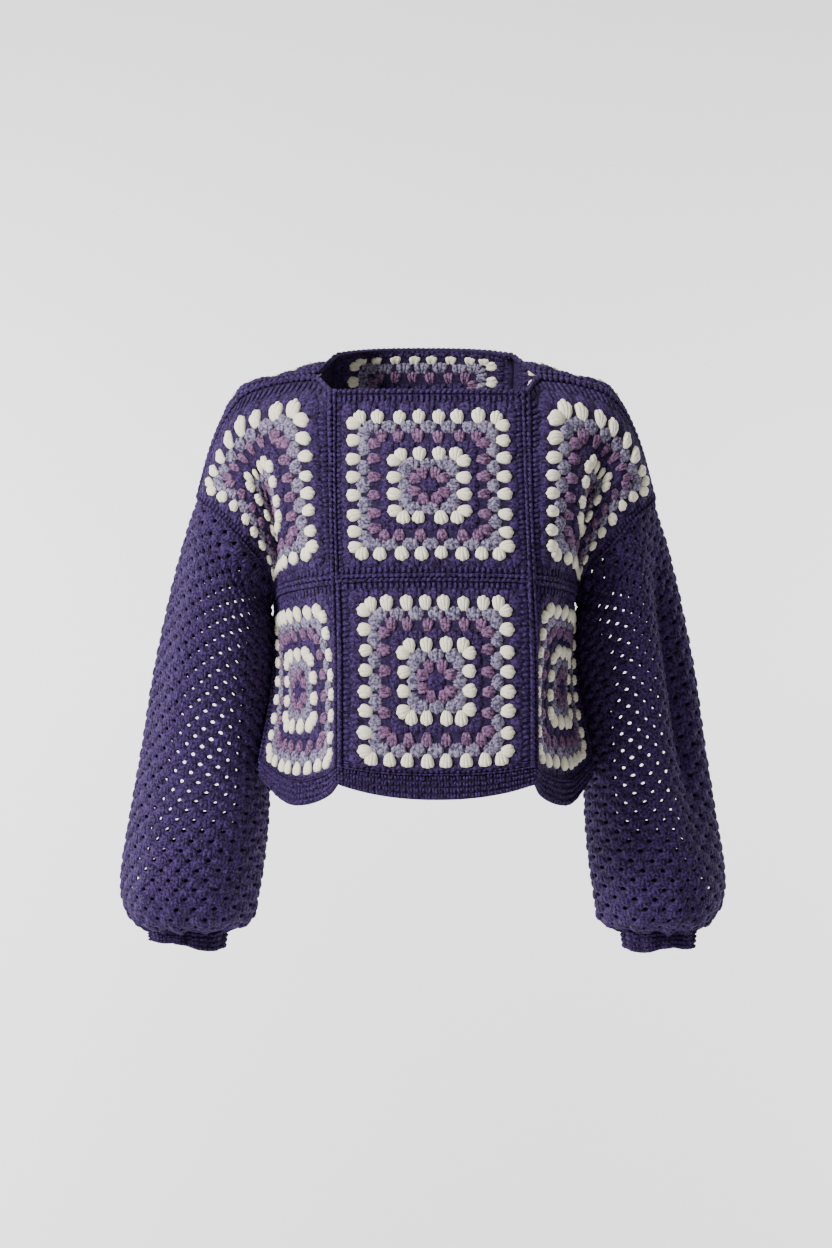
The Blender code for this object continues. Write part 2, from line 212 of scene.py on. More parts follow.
# Distance down, outermost point, innermost point and half the depth of each ring.
SLEEVE_RINGS = (
    (18, (241, 5, -141), (167, 33, -236), 64),
    (50, (251, 11, -168), (166, 37, -258), 66),
    (110, (267, 24, -222), (166, 41, -297), 66),
    (190, (286, 38, -305), (167, 46, -350), 66),
    (270, (299, 48, -385), (168, 52, -408), 66),
    (340, (311, 54, -455), (169, 56, -464), 70),
    (400, (321, 57, -516), (174, 58, -516), 74),
    (438, (319, 58, -551), (180, 58, -551), 72),
    (460, (306, 58, -573), (187, 58, -573), 60),
    (480, (289, 58, -583), (213, 58, -583), 28),
)
# The left sleeve's values are under 1, and the right one's under -1: how full it is,
# and its long fold's angle on the ring, width in radians, and depth on the way down.
SLEEVE_FULLNESS, FULLNESS_FADE = {1: 0.96, -1: 1.02}, 200.0
SLEEVE_LEAN = -3.0       # how far both cuffs hang to the wearer's left; minus is right
FOLD_ANGLE = {1: 0.80, -1: 0.55}
FOLD_WIDTH = {1: 0.36, -1: 0.40}
FOLD_DEPTH = {
    1: {0: 0.0, 18: 0.04, 50: 0.16, 110: 0.32, 190: 0.38, 270: 0.32, 340: 0.16, 400: 0.03, 480: 0.0},
    -1: {0: 0.0, 18: 0.0, 50: 0.05, 110: 0.10, 190: 0.10, 270: 0.06, 340: 0.03, 400: 0.05, 480: 0.0},
}
# Small gathers above the cuff: how many, how high, and where they start and are full.
GATHERS, GATHER_HEIGHT, GATHER_START, GATHER_FADE = 10, 2.6, 430.0, 30.0


def armhole(word):
    """The armhole's loop: down the front from the shoulder, and up the back."""
    front = body[f"front_upper_{word}_square"][0][:, -1]
    back = body[f"back_upper_{word}_square"][0][:, -1]
    return np.concatenate((front[:-1], back[:0:-1]))


def ring_angles(loop):
    """Angle of each point of the armhole: 0 at the top, pi at the armpit."""
    steps = np.linalg.norm(np.roll(loop, -1, axis=0) - loop, axis=1)
    half = len(loop) // 2
    front = np.cumsum(np.concatenate(([0.0], steps[:half])))
    back = np.cumsum(np.concatenate(([0.0], steps[half:])))
    return np.concatenate((math.pi * front[:-1] / front[-1], math.pi + math.pi * back[:-1] / back[-1]))


def sleeve_ring(side, outer, inner, depth, angles, down):
    """Points of one ring of a sleeve, folded and gathered."""
    outer, inner = np.array(outer, float), np.array(inner, float)
    fullness = 1.0 + (SLEEVE_FULLNESS[side] - 1.0) * smooth(down / FULLNESS_FADE)
    inner = outer + (inner - outer) * fullness
    middle, reach = (outer + inner) / 2, (outer - inner) / 2
    arm = np.cos(angles)[:, None] * reach + np.sin(angles)[:, None] * np.array((0.0, -depth, 0.0))
    off = (angles - FOLD_ANGLE[side] + math.pi) % (2 * math.pi) - math.pi
    fold = float(table_value(FOLD_DEPTH[side], down)) * np.exp(-(off / FOLD_WIDTH[side]) ** 2)
    arm *= (1.0 - fold)[:, None]
    gather = GATHER_HEIGHT * smooth((down - GATHER_START) / GATHER_FADE) * np.cos(GATHERS * angles)
    arm *= (1.0 + gather / np.linalg.norm(arm, axis=1))[:, None]
    ring = (middle + arm) * (side, 1, 1)
    ring[:, 0] += SLEEVE_LEAN * down / SLEEVE_LENGTH
    return ring


tubes = {}
for word, side in SIDES.items():
    loop = armhole(word)
    angles = ring_angles(loop)
    knots = [0.0] + [float(row[0]) for row in SLEEVE_RINGS]
    rings = [loop] + [sleeve_ring(side, o, i, d, angles, down) for down, o, i, d in SLEEVE_RINGS]
    rows = [spline(knots, rings, down) for down in np.linspace(0, SLEEVE_LENGTH, SLEEVE_LINES)]
    tubes[f"{word}_sleeve"] = (np.array(rows), side)
print("points round an armhole:", len(loop))

# %% Cuffs and hem band
BAND_LINES = 9           # lines down a band's surface
CUFF_DROP, CUFF_TAPER = 21.0, 0.06   # height of a cuff, and how much narrower its edge is
CUFF_TILT = {1: 1.0, -1: 5.0}    # half of what a cuff's inner side hangs below its outer
# How far the hem band hangs at a seam and between two, and how full its arches are.
HEM_AT_SEAM, HEM_AT_MIDDLE, HEM_ROUNDING = 17.0, 24.0, 0.8
for word, side in SIDES.items():
    top = tubes[f"{word}_sleeve"][0][-1]
    centre = top.mean(axis=0)
    # Minus one at the cuff's outer side, and one at its inner side.
    inwards = -side * (top[:, 0] - centre[0]) / np.ptp(top[:, 0]) * 2.0
    rows = []
    for share in np.linspace(0, 1, BAND_LINES):
        ring = top.copy()
        ring[:, :2] = centre[:2] + (top[:, :2] - centre[:2]) * (1.0 - CUFF_TAPER * share)
        ring[:, 2] -= (CUFF_DROP - CUFF_TILT[side] + CUFF_TILT[side] * inwards) * share
        rows.append(ring)
    tubes[f"{word}_cuff"] = (np.array(rows), side)

HEM_ORDER = (("front", "centre", 1), ("front", "left", 1), ("back", "left", -1),
             ("back", "centre", -1), ("back", "right", 1), ("front", "right", -1))
edges = [body[f"{face}_lower_{word}_square"][0][-1][::step] for face, word, step in HEM_ORDER]
arch = np.sin(np.pi * LINES / SQUARE) ** HEM_ROUNDING
drop = HEM_AT_SEAM + (HEM_AT_MIDDLE - HEM_AT_SEAM) * arch
top = np.concatenate([edge[:-1] for edge in edges])
hang = np.zeros_like(top)
hang[:, 2] = np.tile(drop[:-1], len(edges))
rows = [top - hang * share for share in np.linspace(0, 1, BAND_LINES)]
tubes["hem_band"] = (np.array(rows), -1)
print("points round the hem:", len(top))

# %% [markdown]
# ## Laying flat crochet on a surface
# A flat piece has points (across, down, height) in millimetres. To bend it, each
# point is looked up on the surface at its place across and down, and then moved out
# along the surface's normal by its height. It is what a Surface Deform modifier
# does, but the lookup also knows how a tube closes on itself.

# %% The surface lookup
def with_normals(points, way, closed):
    """A surface's points and unit normals, a tube's first column repeated at its end."""
    full = np.concatenate((points, points[:, :1]), axis=1) if closed else points
    along = np.gradient(full, axis=1)
    if closed:
        along[:, 0] = along[:, -1] = (full[:, 1] - full[:, -2]) / 2
    normals = way * np.cross(along, np.gradient(full, axis=0))
    return full, normals / np.linalg.norm(normals, axis=2, keepdims=True)


surfaces = {}
for name, (points, way) in body.items():
    surfaces[name] = (*with_normals(points, way, False), False)
for name, (points, way) in tubes.items():
    surfaces[name] = (*with_normals(points, way, True), True)


def lay(flat, name, size):
    """Flat points, of a piece of that size, laid on a surface. Metres."""
    points, normals, closed = surfaces[name]
    rows, columns = points.shape[0] - 1, points.shape[1] - 1
    u, v = flat[:, 0] / size[0] * columns, flat[:, 1] / size[1] * rows
    if closed:
        u = u % columns
    i = np.clip(np.floor(u).astype(int), 0, columns - 1)
    j = np.clip(np.floor(v).astype(int), 0, rows - 1)
    a, b = (u - i)[:, None], (v - j)[:, None]

    def mixed(grid):
        upper = grid[j, i] * (1 - a) + grid[j, i + 1] * a
        lower = grid[j + 1, i] * (1 - a) + grid[j + 1, i + 1] * a
        return upper * (1 - b) + lower * b

    return (mixed(points) + mixed(normals) * flat[:, 2:]) * MM


centre_out = surfaces["front_lower_centre_square"][1].mean(axis=(0, 1))
print("front square faces", np.round(centre_out, 2))

# %% [markdown]
# ## Yarn
# The sweater is worked in soft wool: a dark purple main colour, a mauve and a
# greyed lavender that are spun from mixed fibres, and a plain cream. Mixed fibres
# give fine mottling two to three millimetres across. The plies show as grooves that
# run along each stitch, so the bump reads the stitch's own UV map, which the sphere
# operator makes. A painted image could show them too, but it would blur close up.
# Wool scatters light at its edges, and a little sheen stands for that.

# %% Colour and node helpers
def srgb(code):
    """A hex colour as linear red, green, blue and alpha."""
    parts = [int(code[i:i + 2], 16) / 255 for i in (1, 3, 5)]
    return (*[c / 12.92 if c <= 0.04045 else ((c + 0.055) / 1.055) ** 2.4 for c in parts], 1.0)


def add_node(tree, kind, settings=(), inputs=(), links=()):
    """A node with its settings, input values and incoming links."""
    node = tree.nodes.new(kind)
    for key, value in dict(settings).items():
        setattr(node, key, value)
    for key, value in dict(inputs).items():
        node.inputs[key].default_value = value
    for key, source in dict(links).items():
        tree.links.new(source, node.inputs[key])
    return node


print("middle grey in linear light:", round(srgb("#808080")[0], 3))

# %% The wool material
FIBRE_MM = 2.6           # mottling of mixed fibres
FUZZ_MM = 0.7            # loose fibre ends, drawn coarser than real ones so they show
PLIES = 5                # grooves round a stitch
PLY_DEPTH_MM, PLY_SHARE = 0.8, 0.5       # relief of the grooves, and their part in it
WOOL_ROUGHNESS, WOOL_GLOSS = 0.88, 0.25  # dry wool has nearly no highlight
SHEEN_ROUGHNESS = 0.45


def wool(name, dark, light, mottling, sheen, bump=0.35):
    """Woollen yarn of two close shades, with plies along each stitch."""
    material = bpy.data.materials.new(name)
    material.use_nodes = True
    tree = material.node_tree
    shader = tree.nodes["Principled BSDF"]
    shader.inputs["Roughness"].default_value = WOOL_ROUGHNESS
    shader.inputs["Specular IOR Level"].default_value = WOOL_GLOSS
    shader.inputs["Sheen Weight"].default_value = sheen
    shader.inputs["Sheen Roughness"].default_value = SHEEN_ROUGHNESS
    shader.inputs["Sheen Tint"].default_value = srgb(light)
    place = add_node(tree, "ShaderNodeTexCoord")
    fibre = add_node(tree, "ShaderNodeTexNoise", {"noise_dimensions": "3D"},
                     {"Scale": 1000 / FIBRE_MM, "Detail": 2.0, "Roughness": 0.6},
                     {"Vector": place.outputs["Object"]})
    fuzz = add_node(tree, "ShaderNodeTexNoise", {"noise_dimensions": "3D"},
                    {"Scale": 1000 / FUZZ_MM, "Detail": 1.0}, {"Vector": place.outputs["Object"]})
    ramp = add_node(tree, "ShaderNodeValToRGB", links={"Fac": fibre.outputs["Fac"]})
    ramp.color_ramp.elements[0].position = 0.5 - mottling
    ramp.color_ramp.elements[0].color = srgb(dark)
    ramp.color_ramp.elements[1].position = 0.5 + mottling
    ramp.color_ramp.elements[1].color = srgb(light)
    tree.links.new(ramp.outputs["Color"], shader.inputs["Base Color"])
    stitch = add_node(tree, "ShaderNodeSeparateXYZ", links={"Vector": place.outputs["UV"]})
    turn = add_node(tree, "ShaderNodeMath", {"operation": "MULTIPLY"}, {1: 2 * math.pi * PLIES},
                    {0: stitch.outputs["X"]})
    lean = add_node(tree, "ShaderNodeMath", {"operation": "MULTIPLY"}, {1: 2 * math.pi},
                    {0: stitch.outputs["Y"]})
    both = add_node(tree, "ShaderNodeMath", {"operation": "ADD"},
                    links={0: turn.outputs["Value"], 1: lean.outputs["Value"]})
    groove = add_node(tree, "ShaderNodeMath", {"operation": "SINE"}, links={0: both.outputs["Value"]})
    height = add_node(tree, "ShaderNodeMath", {"operation": "MULTIPLY_ADD"}, {1: PLY_SHARE},
                      {0: groove.outputs["Value"], 2: fuzz.outputs["Fac"]})
    relief = add_node(tree, "ShaderNodeBump",
                      inputs={"Strength": bump, "Distance": PLY_DEPTH_MM * MM},
                      links={"Height": height.outputs["Value"]})
    tree.links.new(relief.outputs["Normal"], shader.inputs["Normal"])
    return material


# Name, dark and light shade, width of the mottling between them, sheen, and bump.
YARNS = {
    # Nearly black in its grooves, with a faint violet bloom on top.
    "purple": wool("wool_dark_purple_heather", "#0e071a", "#422c61", 0.13, 0.06),
    # Dusty and warm, with clear speckles.
    "mauve": wool("wool_mauve_heather", "#432a46", "#866485", 0.12, 0.12),
    # Cooler and greyer than the mauve, as speckled.
    "lavender": wool("wool_grey_lavender_heather", "#3d3650", "#928aa2", 0.12, 0.12),
    # Undyed and nearly even, so its shape shows by shade alone.
    "cream": wool("wool_cream", "#ddd5b9", "#f8f2dd", 0.2, 0.15),
    # The thin sheet behind the stitches, in a darker purple: painted shade where little light reaches.
    "web": wool("wool_dark_purple_painted_shade", "#150d25", "#33234c", 0.16, 0.05, 0.5),
}
YARN_SLOTS = list(YARNS)
print("yarns:", YARN_SLOTS)

# %% [markdown]
# ## One stitch
# A granny square is made of clusters: three tall stitches worked into one gap. They
# share a narrow foot and fan out at the top, like a tulip. One stitch is a sphere
# with few faces, drawn out and tilted. A curve with a bevel could follow the yarn
# itself, but thousands of them would be too heavy.

# %% Stitch and cluster makers
EGG = 0.28               # how much fatter a stitch is at its head than at its middle
FOOT_SPREAD = 0.12       # how far apart a cluster's feet stand, as a share of its width
SIDE_SHORTER = 0.09      # how much shorter its two outer stitches are, as a share
MIDDLE_LIFT = 0.35       # how far its middle stitch stands out, in mm


def blank_bmesh():
    """An empty bmesh with a UV map, which the operators fill."""
    bm = bmesh.new()
    bm.loops.layers.uv.new("UVMap")
    return bm


def mesh_of(name, bm):
    """A mesh from a bmesh, which is then freed."""
    mesh = bpy.data.meshes.new(name)
    bm.to_mesh(mesh)
    bm.free()
    return mesh


def add_post(bm, foot, head, width, depth, height, sides, rings):
    """One plump stitch from its foot to its head, as points across and down."""
    made = bmesh.ops.create_uvsphere(bm, u_segments=sides, v_segments=rings,
                                     radius=1.0, calc_uvs=True)
    foot, head = Vector((*foot, height)), Vector((*head, height))
    along = head - foot
    turn = Matrix.Rotation(math.atan2(along.x, along.y), 3, "Z").transposed()
    for vert in made["verts"]:
        x, y, z = vert.co
        egg = 1.0 + EGG * z
        local = Vector((x * width / 2 * egg, z * along.length / 2, y * depth / 2 * egg))
        vert.co = (foot + head) / 2 + turn @ local


def cluster_of(width, length, depth, height, sides, rings, share_of_width=0.42):
    """A bmesh with a cluster of three stitches, foot at y 0 and head at y -length."""
    bm = blank_bmesh()
    post = width * share_of_width
    for share in (-1, 1, 0):
        foot = (share * width * FOOT_SPREAD, 0.0)
        head = (share * (width - post) / 2, -length + abs(share) * length * SIDE_SHORTER)
        lift = height + (MIDDLE_LIFT if share == 0 else 0.0)
        add_post(bm, foot, head, post, depth, lift, sides, rings)
    return bm


SAMPLE = (20.0, 13.0, 5.0, 0.0, 6, 4)    # width, length, depth, height, sides, rings
sample = mesh_of("sample", cluster_of(*SAMPLE))
print("one cluster:", len(sample.polygons), "faces")
bpy.data.meshes.remove(sample)

# %% [markdown]
# ## Many stitches
# A square has hundreds of stitches. An Array modifier sets its copies in even lines,
# and operators are slow for so many, so one cluster is copied by arithmetic on its
# arrays of points. Each copy is moved, turned and sized a little by a seeded draw,
# because handwork is never quite even.

# %% Stamp and join
HAND_SPREAD = (0.30, 0.30, 0.085)        # across and down in mm, and turn in radians
HAND_SIZE = 0.035                        # share of a cluster's size


def arrays_of(bm):
    """A bmesh's points, face corners, faces' first corners and UVs. Frees the bmesh."""
    mesh = mesh_of("stamp", bm)
    points, corners = np.empty(len(mesh.vertices) * 3), np.empty(len(mesh.loops), np.int32)
    starts, uvs = np.empty(len(mesh.polygons), np.int32), np.empty(len(mesh.loops) * 2)
    mesh.vertices.foreach_get("co", points)
    mesh.loops.foreach_get("vertex_index", corners)
    mesh.polygons.foreach_get("loop_start", starts)
    mesh.uv_layers[0].data.foreach_get("uv", uvs)
    bpy.data.meshes.remove(mesh)
    return points.reshape(-1, 3), corners, starts, uvs


def stamped(template, places, hand=1.0, seed=0):
    """Arrays of a template's copies at (across, down, turn, yarn), as uneven as a hand is."""
    points, corners, starts, uvs = arrays_of(template)
    copies = len(places)
    spots = np.array([place[:3] for place in places], float)
    chance = np.random.default_rng([seed, copies])
    spots += hand * chance.normal(0, HAND_SPREAD, spots.shape)
    size = 1 + hand * chance.normal(0, HAND_SIZE, (copies, 1))
    cos, sin = size * np.cos(spots[:, 2:]), size * np.sin(spots[:, 2:])
    across = spots[:, :1] + cos * points[:, 0] - sin * points[:, 1]
    down = spots[:, 1:2] + sin * points[:, 0] + cos * points[:, 1]
    height = np.broadcast_to(points[:, 2], across.shape)
    order = np.arange(copies)[:, None]
    yarns = np.array([YARN_SLOTS.index(place[3]) for place in places])
    return {
        "points": np.stack((across, down, height), axis=2).reshape(-1, 3),
        "corners": (corners + order * len(points)).ravel(),
        "starts": (starts + order * len(corners)).ravel(),
        "uvs": np.tile(uvs, copies),
        "yarns": np.repeat(yarns, len(starts)),
    }


def joined(name, parts):
    """One mesh from several sets of arrays."""
    verts = np.cumsum([0] + [len(part["points"]) for part in parts])
    loops = np.cumsum([0] + [len(part["corners"]) for part in parts])
    points = np.concatenate([part["points"] for part in parts])
    starts = np.concatenate([part["starts"] + base for part, base in zip(parts, loops)])
    mesh = bpy.data.meshes.new(name)
    mesh.vertices.add(len(points))
    mesh.loops.add(int(loops[-1]))
    mesh.polygons.add(len(starts))
    mesh.vertices.foreach_set("co", points.ravel())
    corners = np.concatenate([part["corners"] + base for part, base in zip(parts, verts)])
    mesh.loops.foreach_set("vertex_index", corners.astype(np.int32))
    mesh.polygons.foreach_set("loop_start", starts.astype(np.int32))
    yarns = np.concatenate([part["yarns"] for part in parts])
    mesh.polygons.foreach_set("material_index", yarns.astype(np.int32))
    mesh.update(calc_edges=True)
    uvs = np.concatenate([part["uvs"] for part in parts])
    mesh.uv_layers.new(name="UVMap").data.foreach_set("uv", uvs)
    mesh.validate()
    return mesh


row = [(k * SAMPLE[0], 0.0, 0.0, "cream") for k in range(3)]
sample = joined("sample", [stamped(cluster_of(*SAMPLE), row)])
print("three clusters in a row:", len(sample.polygons), "faces")
bpy.data.meshes.remove(sample)

# %% [markdown]
# ## One flat granny square
# Rounds grow from the middle: dark purple, mauve, lavender and cream, then the same
# four again, then one more dark round, a row of tight stitches and the joining
# stitch that stands up along every seam. Round k has k clusters on each side, and
# each cluster sits in the gap between two clusters of the round before. A picture of a
# square on plain cloth would be quicker, but its stitches would throw no shadows.

# %% Lay out the rounds
ROUND_MM = 10.0          # height of a round
PITCH_MM = 20.0          # from one cluster to the next
ROUND_YARNS = ("purple", "mauve", "lavender", "cream") * 2 + ("purple",)
FOOT_INSIDE = 3.5        # how far a cluster reaches down into the round before
CORNER_LEAN, CORNER_SHIFT = 0.10, 4.0    # the two clusters of a corner part a little
# Width, length, depth, height, sides and rings of a yarn's clusters, and for the
# plumpest also one stitch's share of the width.
CLUSTER_SIZES = {
    "cream": (14.6, 15.6, 7.8, 1.1, 8, 6, 0.50),
    "mauve": (14.0, 15.4, 6.4, 0.6, 6, 4),
    "lavender": (21.0, 15.2, 5.8, 0.3, 6, 4),
    "purple": (20.4, 13.0, 5.0, 0.0, 6, 4),
}
EDGE_PITCH = 5.5         # one tight stitch
# Inset, unevenness, and one stitch's foot, head, width, depth, height, sides and rings.
EDGE_ROWS = (
    (7.4, 0.5, ((0, 3.4), (0, -3.4), 4.6, 4.6, 0.6, 6, 4)),
    (2.1, 0.3, ((-3.6, 1.0), (3.6, -1.0), 4.0, 4.6, 2.1, 6, 4)),
)


def side_turns():
    """Turns that carry the top side of a square to each of its four sides."""
    return [quarter * math.pi / 2 for quarter in range(4)]


def round_places(number, yarn):
    """Places of a round's clusters, round all four sides."""
    foot = (number - 1) * ROUND_MM - FOOT_INSIDE
    places = []
    for turn in side_turns():
        for k in range(number):
            along = (k - (number - 1) / 2) * PITCH_MM
            corner = number > 1 and k in (0, number - 1)
            lean = math.copysign(CORNER_LEAN, along) if corner else 0.0
            shift = -math.copysign(CORNER_SHIFT, along) if corner else 0.0
            spot = Matrix.Rotation(turn, 2) @ Vector((along + shift, -foot))
            places.append((SQUARE / 2 + spot.x, SQUARE / 2 + spot.y, turn + lean, yarn))
    return places


def edge_places(inset, yarn):
    """Places of single stitches along all four edges."""
    count = int(SQUARE / EDGE_PITCH)
    pitch = SQUARE / count
    places = []
    for turn in side_turns():
        for k in range(count):
            along = (k + 0.5) * pitch - SQUARE / 2
            spot = Matrix.Rotation(turn, 2) @ Vector((along, inset - SQUARE / 2))
            places.append((SQUARE / 2 + spot.x, SQUARE / 2 + spot.y, turn, yarn))
    return places


print("clusters in the last round:", len(round_places(len(ROUND_YARNS), "purple")))

# %% Make the flat squares
def flat_square(seed):
    """Stitches of one flat square, as a mesh in millimetres."""
    parts = []
    for number, yarn in enumerate(ROUND_YARNS, 1):
        template = cluster_of(*CLUSTER_SIZES[yarn])
        parts.append(stamped(template, round_places(number, yarn), 1.0, seed))
    for inset, hand, stitch in EDGE_ROWS:
        template = blank_bmesh()
        add_post(template, *stitch)
        parts.append(stamped(template, edge_places(inset, "purple"), hand, seed))
    return joined("flat_square", parts)


flat_squares = [flat_square(seed) for seed in range(len(body))]
print("flat squares:", len(flat_squares), "of", len(flat_squares[0].polygons), "faces")

# %% [markdown]
# ## Dressing the twelve squares
# Each square is two pieces. The web is a thin sheet under the stitches, cut 195 mm
# square, in a darker purple than the yarn: painted shade for the gaps between the
# clusters. The stitches are the raised clusters that sit on it. Both are bent over the
# same surface, so they never part. Worn cloth also gives: the rounds of a square stretch
# or close up while its sewn edges stay, and a sleeve folds. A cloth simulation could
# find this, but not for thousands of stitches, so it is listed.

# %% How worn cloth gives
EASE_LIMIT = 79.0        # the last cream round ends near here; the ease then fades out
# How wearing draws a square's rounds: scale, and shift in mm, across and down. The
# upper rounds are shortened, the front's lower ones keep or gain length, and those
# named here sit a little low.
EASES = {
    "front_upper_centre_square": ((1.015, 0.935), (-1.5, 2.4)),
    "front_upper_left_square": ((0.94, 0.92), (0.0, 2.0)),
    "front_upper_right_square": ((0.94, 0.92), (0.0, 2.0)),
    "front_lower_centre_square": ((0.945, 1.05), (0.0, 6.0)),
    "front_lower_left_square": ((1.0, 1.0), (0.0, 6.0)),
    "front_lower_right_square": ((1.0, 1.03), (0.0, 9.0)),
    "back_upper_left_square": ((1.0, 0.95), (0.0, 5.0)),
    "back_upper_right_square": ((1.0, 0.95), (0.0, 5.0)),
}
FINE_FOLDS = (0.5, 4, 1.0)       # a second set of pleats: share of depth, more folds, start
EDGE_WAVES = (3, 0.6)            # waves of a pleated lower edge: how many, start
# Where a sleeve's inner side rests on the body, in metres from the middle and up.
REST_SIDE, REST_FADE = 0.215, 0.05
REST_HEIGHT, REST_SPREAD = -0.29, 0.12


def eased(flat, ease, shift):
    """Flat points of a square whose rounds are drawn out, in or along, with its edges kept."""
    half = SQUARE / 2
    for axis in (0, 1):
        off = flat[:, axis] - half
        knots = (-half, -EASE_LIMIT, EASE_LIMIT, half)
        reach = EASE_LIMIT * ease[axis]
        values = (-half, shift[axis] - reach, shift[axis] + reach, half)
        inside = np.abs(off) < half
        flat[inside, axis] = half + np.interp(off[inside], knots, values)
    return flat


def gathered(flat, size, start, folds, depth, dip):
    """Flat points in soft pleats that deepen from start down, with a wavy lower edge."""
    turn = 2 * math.pi * flat[:, 0] / size[0]
    grow = np.clip((flat[:, 1] / size[1] - start) / (1 - start), 0, 1.1)
    share, more, begin = FINE_FOLDS
    fine = share * np.sin((folds + more) * turn + begin)
    flat[:, 2] += depth * grow * (np.sin(folds * turn) + fine)
    waves, begin = EDGE_WAVES
    flat[:, 1] += dip * grow * np.sin(waves * turn + begin)
    return flat


def leaned(placed, side, reach):
    """Points of a sleeve whose inner side rests on the body below the armhole."""
    inner = np.clip((REST_SIDE - placed[:, 0] * side) / REST_FADE, 0, 1)
    near = np.clip(1 - np.abs(placed[:, 2] - REST_HEIGHT) / REST_SPREAD, 0, 1)
    placed[:, 0] -= side * reach * MM * inner * near ** 2 * (3 - 2 * near)
    return placed


print("squares that are eased:", len(EASES))

# %% Bend and finish a piece
WEB_THICKNESS = 1.4      # in mm


def bent(mesh, name, surface, size, ease=None, pleats=None, lean=None, turn=0.0):
    """An object whose mesh is the flat mesh, moved across by turn and laid on a surface."""
    copy = mesh.copy()
    copy.name = name
    flat = np.empty(len(copy.vertices) * 3)
    copy.vertices.foreach_get("co", flat)
    flat = flat.reshape(-1, 3)
    flat[:, 0] += turn
    if ease:
        flat = eased(flat, *ease)
    if pleats:
        flat = gathered(flat, size, *pleats)
    placed = lay(flat, surface, size)
    if lean:
        placed = leaned(placed, *lean)
    copy.vertices.foreach_set("co", placed.ravel())
    copy.update()
    piece = bpy.data.objects.new(name, copy)
    bpy.context.collection.objects.link(piece)
    return piece


def finished(piece, node, materials):
    """Give a piece its yarn and smooth shading, and let it ride in place of its solid."""
    for material in materials:
        piece.data.materials.append(material)
    bm = bmesh.new()
    bm.from_mesh(piece.data)
    bmesh.ops.recalc_face_normals(bm, faces=bm.faces[:])
    bm.to_mesh(piece.data)
    bm.free()
    piece.data.shade_smooth()
    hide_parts(node)
    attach(piece, "root")


def flat_grid(size, cells):
    """A bmesh grid of that size and that many cells, in millimetres, with a UV map."""
    bm = blank_bmesh()
    bmesh.ops.create_grid(bm, x_segments=cells[0], y_segments=cells[1], size=0.5, calc_uvs=True)
    bmesh.ops.translate(bm, vec=(0.5, 0.5, 0), verts=bm.verts[:])
    bmesh.ops.scale(bm, vec=(size[0], size[1], 1), verts=bm.verts[:])
    return bm


def thicken(piece, thickness=WEB_THICKNESS):
    """Give a web its thickness."""
    solid = piece.modifiers.new("thickness", "SOLIDIFY")
    solid.thickness = thickness * MM
    solid.offset = 0.0


# %% Make the squares
square_web = mesh_of("flat_web", flat_grid((SQUARE, SQUARE), (GRID_LINES - 1, GRID_LINES - 1)))
for name, square_stitches in zip(body, flat_squares):
    stitches = bent(square_stitches, name + "_stitches", name, (SQUARE, SQUARE), EASES.get(name))
    finished(stitches, name, YARNS.values())
    # The web is darker than the yarn: painted shade for the gaps between the clusters.
    web = bent(square_web, name + "_web", name, (SQUARE, SQUARE))
    finished(web, name, [YARNS["web"]])
    thicken(web)
print("squares dressed:", len(body), "with webs of", len(square_web.polygons), "faces")

# %% [markdown]
# ## The sleeves
# The sleeves are an open mesh: rounds of the same three-stitch clusters in dark
# purple with a small real hole between them. A see-through texture would look flat
# against the light, so the web is a grid whose every cell is inset and opened.
# Shearing the grid by half a cell a round staggers the holes.

# %% Flat sleeve web with its holes
CLUSTERS_ROUND = 20      # clusters in one round of a sleeve
SLEEVE_ROUNDS = 44       # rounds from the armhole to the cuff
SLEEVE_WIDTH = 390.0
CELL = (SLEEVE_WIDTH / CLUSTERS_ROUND, SLEEVE_LENGTH / SLEEVE_ROUNDS)
HOLE = (5.4, 5.0)        # width and height in mm
HOLE_RIM = 2.0           # width of the ring of faces round a hole
HOLE_SHIFT = 0.12        # part of a cell that a hole sits above its middle
STAGGER = CELL[0] / 2 / CELL[1]


def sleeve_web():
    """A flat sleeve with an opening in every cell, in millimetres."""
    bm = flat_grid((SLEEVE_WIDTH, SLEEVE_LENGTH), (CLUSTERS_ROUND * 2, SLEEVE_ROUNDS * 2))
    centres = []
    for vert in bm.verts:
        column, row = round(vert.co.x / CELL[0] * 2), round(vert.co.y / CELL[1] * 2)
        if column % 2 == 1 and row % 2 == 1:
            centres.append(vert)
    bmesh.ops.dissolve_verts(bm, verts=centres)
    opened = bmesh.ops.inset_individual(bm, faces=bm.faces[:], thickness=HOLE_RIM)
    rims = set(opened["faces"])
    inner = [face for face in bm.faces if face not in rims]
    for face in inner:
        middle = face.calc_center_median() - Vector((0, CELL[1] * HOLE_SHIFT, 0))
        for vert in face.verts:
            arm = (vert.co - middle).normalized()
            rise = arm.y * HOLE[1] / 2
            vert.co = middle + Vector((arm.x * HOLE[0] / 2 - rise * STAGGER, rise, 0))
    bmesh.ops.delete(bm, geom=inner, context="FACES")
    for vert in bm.verts:
        vert.co.x += STAGGER * vert.co.y
    return mesh_of("sleeve_web", bm)


holed_web = sleeve_web()
print("flat sleeve web:", len(holed_web.polygons), "faces")

# %% Flat sleeve stitches
# Width, length, depth, height, sides, rings and a stitch's share of the width.
SLEEVE_CLUSTER = (CELL[0] * 0.78, CELL[1] * 1.08, 4.0, 0.3, 6, 4, 0.36)
CLUSTER_PLACE = (1.25, 0.05)     # where in its cell a cluster starts, as shares of it


def sleeve_stitches():
    """Clusters of a flat sleeve, one below each hole, in millimetres."""
    places = []
    for row in range(SLEEVE_ROUNDS):
        for column in range(CLUSTERS_ROUND):
            across = (column + row / 2 + CLUSTER_PLACE[0]) * CELL[0]
            places.append((across, (row + CLUSTER_PLACE[1]) * CELL[1], math.pi, "purple"))
    return joined("sleeve_stitches", [stamped(cluster_of(*SLEEVE_CLUSTER), places)])


